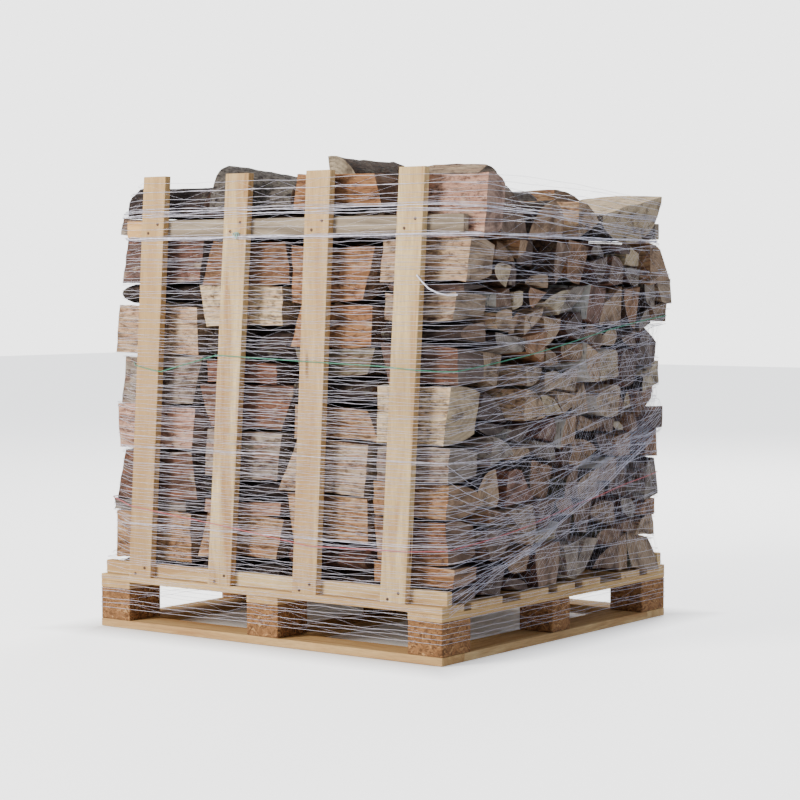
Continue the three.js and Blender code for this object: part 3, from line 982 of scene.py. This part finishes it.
def lay_top_billet(node, name, wood, bark, flips, dice):
    low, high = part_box(node)
    crosswise = node == CROSSWISE
    first, last = (low.x, high.x) if crosswise else (low.y, high.y)
    ends = (low.y, high.y) if crosswise else (low.x, high.x)
    corners = [(first, low.z), (last, low.z), (last, high.z), (first, high.z)]
    if node == PALE_HALF:
        corners = [(first, low.z), (last, low.z), (last, high.z), (first + 0.03, low.z + 0.075)]
        ends = (low.x, high.x - 0.02)
    points, faces, kinds, grain = lay_billet(name, corners, ends, dice, flips)
    if crosswise:
        points = points[:, [1, 0, 2]]
        faces = [f[::-1] for f in faces]
    along = (points[:, 0] - points[:, 0].min()) / np.ptp(points[:, 0])
    points[:, 2] = low.z + (points[:, 2] - low.z) * (1 - THINNING.get(node, 0.0) * along)
    if node == CAP:
        points[:, 2] -= CAP_SETTLE
    tones = to_light(WOOD[wood], dice, 0.03), to_light(BARKS[bark], dice, 0.04)
    piece = build_piece(node.replace("top_", "top_split_"), [(points, faces, kinds, grain, *tones)])
    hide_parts(node)
    return piece


dice = random.Random(7)
top_pieces = [lay_top_billet(node, *look, dice) for node, look in TOP.items()]
print(len(top_pieces), "billets on top")

# %% [markdown]
# ## The shape that the net is stretched over
# A taut net touches only what sticks out most, and runs straight between. Seen from above at one
# height, that is the convex outline of everything in the load there: slats, batten, rails, pallet
# and log ends. Cloth simulation could pull the net tight, but it needs minutes and can slip through
# a log. The outline is measured from the finished pieces every 12 millimetres of height instead, and
# each one also takes in the one below it, drawn in a little, as a tight net can't shrink at a step.

# %% Measure the outlines
LEVEL_STEP = 0.012
LEVEL_REACH = 0.014
NET_CLEAR = 0.0018


def outline_of(points):
    """The convex outline of points in the plane, anticlockwise."""
    points = sorted(set(map(tuple, np.round(points, 4))))

    def half(side):
        chain = []
        for p in side:
            while len(chain) > 1 and (
                (chain[-1][0] - chain[-2][0]) * (p[1] - chain[-2][1])
                - (chain[-1][1] - chain[-2][1]) * (p[0] - chain[-2][0])
            ) <= 0:
                chain.pop()
            chain.append(p)
        return chain[:-1]

    return np.array(half(points) + half(points[::-1]))


def board_corners(z):
    """The corners of every board that the height z passes through."""
    corners = []
    for node in frame["nodes"]:
        if node.startswith(("billet", "top_", "stretch")):
            continue
        low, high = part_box(node)
        if not low.z - 0.004 <= z <= high.z + 0.004:
            continue
        left, right = low.x, high.x
        if node.startswith("slat"):
            middle = slat_centre(node, z)
            left, right = middle - SLAT_WIDTH / 2, middle + SLAT_WIDTH / 2
        corners += [(x, y) for x in (left, right) for y in (low.y, high.y)]
    return corners


def wood_points():
    pieces = [o for o in bpy.data.objects if o.name.startswith(("billets_", "top_split_"))]
    return np.concatenate([[v.co[:] for v in o.data.vertices] for o in pieces])


DRAW_IN = 0.985  # most a level can shrink from the one below it, as the net is stretched tight


class Skin:
    """The load's convex outlines, level by level, read as a distance from the middle axis."""

    def __init__(self, low, high):
        wood = wood_points()
        self.low = low
        self.levels = []
        below = np.empty((0, 2))
        for z in np.arange(low, high + LEVEL_STEP, LEVEL_STEP):
            near = wood[np.abs(wood[:, 2] - z) < LEVEL_REACH][:, :2]
            corners = outline_of([*near, *board_corners(z), *(below * DRAW_IN)])
            below = np.array(corners)
            edge = np.roll(corners, -1, axis=0) - corners
            outward = np.column_stack([edge[:, 1], -edge[:, 0]]) / np.linalg.norm(edge, axis=1)[:, None]
            reach = (outward * corners).sum(1) + NET_CLEAR
            self.levels.append((outward, reach, corners))

    def level(self, z):
        return min(max((z - self.low) / LEVEL_STEP, 0), len(self.levels) - 1.001)

    def distance(self, angle, z):
        """How far the outline is from the middle axis, in one direction at one height."""
        at = self.level(z)
        ray = np.array([math.cos(angle), math.sin(angle)])
        found = []
        for outward, reach, _ in (self.levels[int(at)], self.levels[int(at) + 1]):
            facing = outward @ ray
            found.append(np.min(reach[facing > 1e-4] / facing[facing > 1e-4]))
        return found[0] + (found[1] - found[0]) * (at % 1)

    def point(self, angle, z, lift=0.0):
        r = self.distance(angle, z) + lift
        return (r * math.cos(angle), r * math.sin(angle), z)

    def corner_angles(self, z):
        corners = self.levels[int(self.level(z))][2]
        return [math.atan2(y, x) for x, y in corners]


NET_LOW, NET_HIGH = 0.056, 1.262
skin = Skin(NET_LOW - 0.02, NET_HIGH)
print("outlines:", len(skin.levels), "corners on one:", len(skin.levels[40][2]))

# %% [markdown]
# ## Threads
# Stretch netting is knitted: long threads run round the load almost level, a centimetre apart, and
# thinner ones zigzag between neighbours. The wrapping machine's pull makes the long threads wander,
# gather into bands and climb across each other on the sides. Each thread is a path on the outline,
# with slow noise for its height, and becomes a thin tube when its curve is given a round section.

# %% Helpers for threads
EVEN_ANGLES = 140
FRONT_RIGHT, BACK_RIGHT, FRONT_LEFT = math.radians(-42), math.radians(41), math.radians(-131)


def climb(angle):
    """0 along the front, rising to 1 along the right side, and back to 0 by the front left corner."""
    if FRONT_LEFT <= angle <= FRONT_RIGHT:
        return 0.0
    if FRONT_RIGHT < angle < BACK_RIGHT:
        return (angle - FRONT_RIGHT) / (BACK_RIGHT - FRONT_RIGHT)
    past = (angle - BACK_RIGHT) % (2 * math.pi)
    return 1 - past / (FRONT_LEFT + 2 * math.pi - BACK_RIGHT)


def wander(angle, number):
    """Slow waves in a thread's height; they close after a full turn."""
    ring = Vector((math.cos(angle), math.sin(angle), number * 0.37))
    return 0.0050 * noise.noise(ring * 2.3) + 0.0034 * noise.noise(ring * 9.0 + Vector((5, 0, 0)))


def settled(z, angle):
    """Above the back frame the net is drawn down to the lower billets at the back."""
    return z - 0.7 * max(0.0, z - 1.16) * climb(angle)


def level_thread(z, number, tilt=0.0, lift=0.0):
    angles = sorted([*np.linspace(-math.pi, math.pi, EVEN_ANGLES, endpoint=False), *skin.corner_angles(z)])
    heights = [settled(z + tilt * climb(a) + wander(a, number), a) for a in angles]
    heights = [min(max(h, NET_LOW), NET_HIGH) for h in heights]
    return [skin.point(a, h, lift) for a, h in zip(angles, heights)]


def thread_piece(name, paths, radius, finish, closed=True, sides=0):
    curve = bpy.data.curves.new(name, "CURVE")
    curve.dimensions = "3D"
    curve.bevel_depth = radius
    curve.bevel_resolution = sides
    curve.use_fill_caps = not closed
    for path in paths:
        spline = curve.splines.new("POLY")
        spline.points.add(len(path) - 1)
        spline.points.foreach_set("co", np.column_stack([path, np.ones(len(path))]).ravel())
        spline.use_cyclic_u = closed
    piece = bpy.data.objects.new(name, curve)
    bpy.context.collection.objects.link(piece)
    bpy.ops.object.select_all(action="DESELECT")
    piece.select_set(True)
    bpy.context.view_layer.objects.active = piece
    bpy.ops.object.convert(target="MESH")
    piece = bpy.context.object
    piece.data.materials.clear()
    piece.data.materials.append(finish)
    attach(piece, "root")
    print(name, "has", sum(len(f.vertices) - 2 for f in piece.data.polygons), "triangles")
    return piece


def thread_plastic(name, colour, roughness=0.38):
    tree = Tree(name, roughness)
    tree.shader.inputs["Specular IOR Level"].default_value = 0.5
    strands = tree.noise(tree.object_place(), 90, detail=2)
    pale = linear([min(c * 1.06, 1) for c in colour])
    return tree.finish(tree.mix(tree.levels(strands, 0.3, 0.7), linear([c * 0.86 for c in colour]), pale))


white_thread = thread_plastic("white_thread", (0.88, 0.87, 0.93))
green_thread = thread_plastic("green_thread", (0.26, 0.58, 0.46))
knot_thread = thread_plastic("knot_thread", (0.62, 0.76, 0.72))
red_thread = thread_plastic("red_thread", (0.80, 0.40, 0.42))
print("climb at the back right corner:", round(climb(BACK_RIGHT), 2))

# %% [markdown]
# ## Winding the net
# The net starts below the deck, so that it ties the load to the pallet, and ends at the top billets.
# The turns lie closest together in the lower half, and wider apart near the top. Heights come from a
# spacing for each stretch of the load, with some chance. On the right side every second turn in the
# lower half climbs steeply, and above the back frame the turns sink to the lower billets there.

# %% Wind the level threads and the zigzags
THREAD_RADIUS = 0.00042
ZIGZAG_RADIUS = 0.00016
SPACING = [(0.15, 0.0125), (0.25, 0.0100), (0.66, 0.0088), (1.12, 0.0128), (NET_HIGH, 0.0170)]
STEEP_FROM, STEEP_TO = 0.15, 0.72  # here every second thread climbs steeply along the right side
SIDE_CLIMB = 0.100  # the most that a thread climbs or drops along the right side

dice = random.Random(11)
heights = [NET_LOW]
while heights[-1] < NET_HIGH - 0.01:
    spacing = next(gap for top, gap in SPACING if heights[-1] <= top)
    heights.append(heights[-1] + spacing * dice.uniform(0.55, 1.45))
climbs = [dice.uniform(-1, 1) * SIDE_CLIMB * min(1, max(0, (z - 0.12) / 0.3)) for z in heights]
for n, z in enumerate(heights):
    if STEEP_FROM < z < STEEP_TO and n % 2:
        climbs[n] = dice.uniform(0.12, 0.30)
levels = [level_thread(z, n, tilt) for n, (z, tilt) in enumerate(zip(heights, climbs))]
net_level = thread_piece("net_level_threads", levels, THREAD_RADIUS, white_thread)


def zigzag(number, step=math.radians(7.2)):
    path = []
    for k in range(50):
        angle = -math.pi + (k + 0.37 * number % 1) * step
        one = number + k % 2
        z = settled(heights[one] + climbs[one] * climb(angle) + wander(angle, one), angle)
        path.append(skin.point(angle, min(max(z, NET_LOW), NET_HIGH), 0.0004))
    return path


zigzags = [zigzag(n) for n in range(len(heights) - 1)]
thread_piece("net_zigzag_threads", zigzags, ZIGZAG_RADIUS, white_thread)
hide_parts("stretch_net")

# %% [markdown]
# ## Gathered threads
# On the right side one turn of the net was pulled into a rope: it leaves the lower front corner as a
# fan, is pinched together in the middle, and opens again towards the back. Near the top two bands
# of threads cross the front. The same path on the outline is used, with the height of each thread
# blended between a low and a high edge of the fan.

# %% Make the diagonal fan and the bands
FAN_Y = (-0.60, -0.475, -0.336, -0.118, 0.113, 0.275, 0.387, 0.52)
FAN_LOW = (0.120, 0.165, 0.215, 0.292, 0.372, 0.435, 0.480, 0.530)
FAN_HIGH = (0.520, 0.460, 0.410, 0.370, 0.440, 0.525, 0.590, 0.670)
FAN_RADIUS, BAND_RADIUS = 0.00055, 0.0006


def fan_thread(share, number):
    path = []
    for k in range(34):
        angle = FRONT_RIGHT + (BACK_RIGHT - FRONT_RIGHT) * k / 33
        y = 0.66 * math.tan(angle) * 0.98
        z = np.interp(y, FAN_Y, FAN_LOW) * (1 - share) + np.interp(y, FAN_Y, FAN_HIGH) * share
        path.append(skin.point(angle, z + 0.4 * wander(angle, number), 0.001 + 0.0012 * (number % 3)))
    return path


fan_shares = [0.0, 0.02, 0.05, 0.08, 0.1, 0.14, 0.2, 0.27, 0.34, 0.42, 0.5, 0.58, 0.66, 0.74, 0.82, 0.9, 1.0]
fan = [fan_thread(share, 300 + n) for n, share in enumerate(fan_shares)]
thread_piece("net_fan", fan, FAN_RADIUS, white_thread, closed=False)
BANDS = [(1.168, 3), (1.179, 4), (1.104, 3), (0.30, 2), (0.52, 2), (1.236, 1)]
bands = [
    level_thread(z + 0.0022 * k, 400 + 10 * n + k, dice.uniform(-0.08, 0.03), 0.0008)
    for n, (z, count) in enumerate(BANDS)
    for k in range(count)
]
thread_piece("net_bands", bands, BAND_RADIUS, white_thread)

# %% [markdown]
# ## Marker threads, drawstring and loose tail
# A green thread and a red one are knitted into the net as markers. Higher up,
# one edge is drawn into a thicker string, with a knot on the second slat and a loose tail by the
# fourth. The string is three strands that twist round a common path; its knot is a small closed
# curve that passes under itself.

# %% Make the coloured threads and the string
GREEN_ROUTE = [
    (-0.60, 0.758), (-0.459, 0.751), (-0.368, 0.734), (-0.157, 0.785), (0.136, 0.774), (0.402, 0.766),
    (0.60, 0.752),
]
RED_ROUTE = [
    (-0.60, 0.362), (-0.505, 0.355), (-0.389, 0.342), (-0.112, 0.314), (0.169, 0.281), (0.402, 0.287),
    (0.60, 0.290),
]
GREEN_RADIUS, RED_RADIUS = 0.0013, 0.0011
MARKER_LIFT = 0.0012
MARKER_CLIMB = 0.14  # how much higher a marker is at the back right corner


def marker_thread(route, lift):
    along, up = zip(*route)
    path = []
    for angle in sorted([*np.linspace(-math.pi, math.pi, 150, endpoint=False), *skin.corner_angles(up[0])]):
        x = skin.point(angle, up[0])[0]
        z = float(np.interp(x, along, up)) + MARKER_CLIMB * climb(angle)
        path.append(skin.point(angle, z, lift))
    return path


green_path, red_path = marker_thread(GREEN_ROUTE, MARKER_LIFT), marker_thread(RED_ROUTE, MARKER_LIFT)
thread_piece("net_green_marker", [green_path], GREEN_RADIUS, green_thread, sides=1)
thread_piece("net_red_marker", [red_path], RED_RADIUS, red_thread, sides=1)

STRING_HEIGHT = 1.106
STRAND_RADIUS = 0.0009


def strand(turn_from):
    path = []
    for k in range(420):
        angle = -math.pi + 2 * math.pi * k / 420
        turn = turn_from + k * 0.55
        z = STRING_HEIGHT + 0.6 * wander(angle, 77) + STRAND_RADIUS * math.sin(turn)
        path.append(skin.point(angle, z, 0.002 + STRAND_RADIUS * math.cos(turn)))
    return path


strands = [strand(2 * math.pi * n / 3) for n in range(3)]
thread_piece("net_string", strands, STRAND_RADIUS, white_thread)

KNOT_SIZE = 0.0033
KNOT_RADIUS = 0.0016
KNOT_HEIGHT = 1.112
knot_slat = "slat_front_2"
knot_x = slat_centre(knot_slat, STRING_HEIGHT) + 0.01
knot_middle = Vector((knot_x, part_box(knot_slat)[0].y - 0.005, KNOT_HEIGHT))


def knot_point(t):
    """A trefoil, the simplest closed curve that is knotted."""
    wide, high = math.sin(t) + 2 * math.sin(2 * t), math.cos(t) - 2 * math.cos(2 * t)
    return knot_middle + KNOT_SIZE * Vector((wide, 0.9 * math.sin(3 * t), high))


knot = [knot_point(t)[:] for t in np.linspace(0, 2 * math.pi, 40, endpoint=False)]
thread_piece("net_knot", [knot], KNOT_RADIUS, knot_thread, sides=1)

TAIL = [
    (0.522, -0.5740, 1.002), (0.540, -0.5755, 0.985), (0.560, -0.5760, 0.968),
    (0.586, -0.5720, 0.956), (0.611, -0.5630, 0.950), (0.634, -0.5520, 0.951),
]
TAIL_RADIUS = 0.0022
tail_curve = [
    tuple(np.array(a) + (np.array(b) - np.array(a)) * t) for a, b in zip(TAIL, TAIL[1:]) for t in (0, 0.5)
]
thread_piece("net_tail", [[*tail_curve, TAIL[-1]]], TAIL_RADIUS, white_thread, closed=False, sides=1)
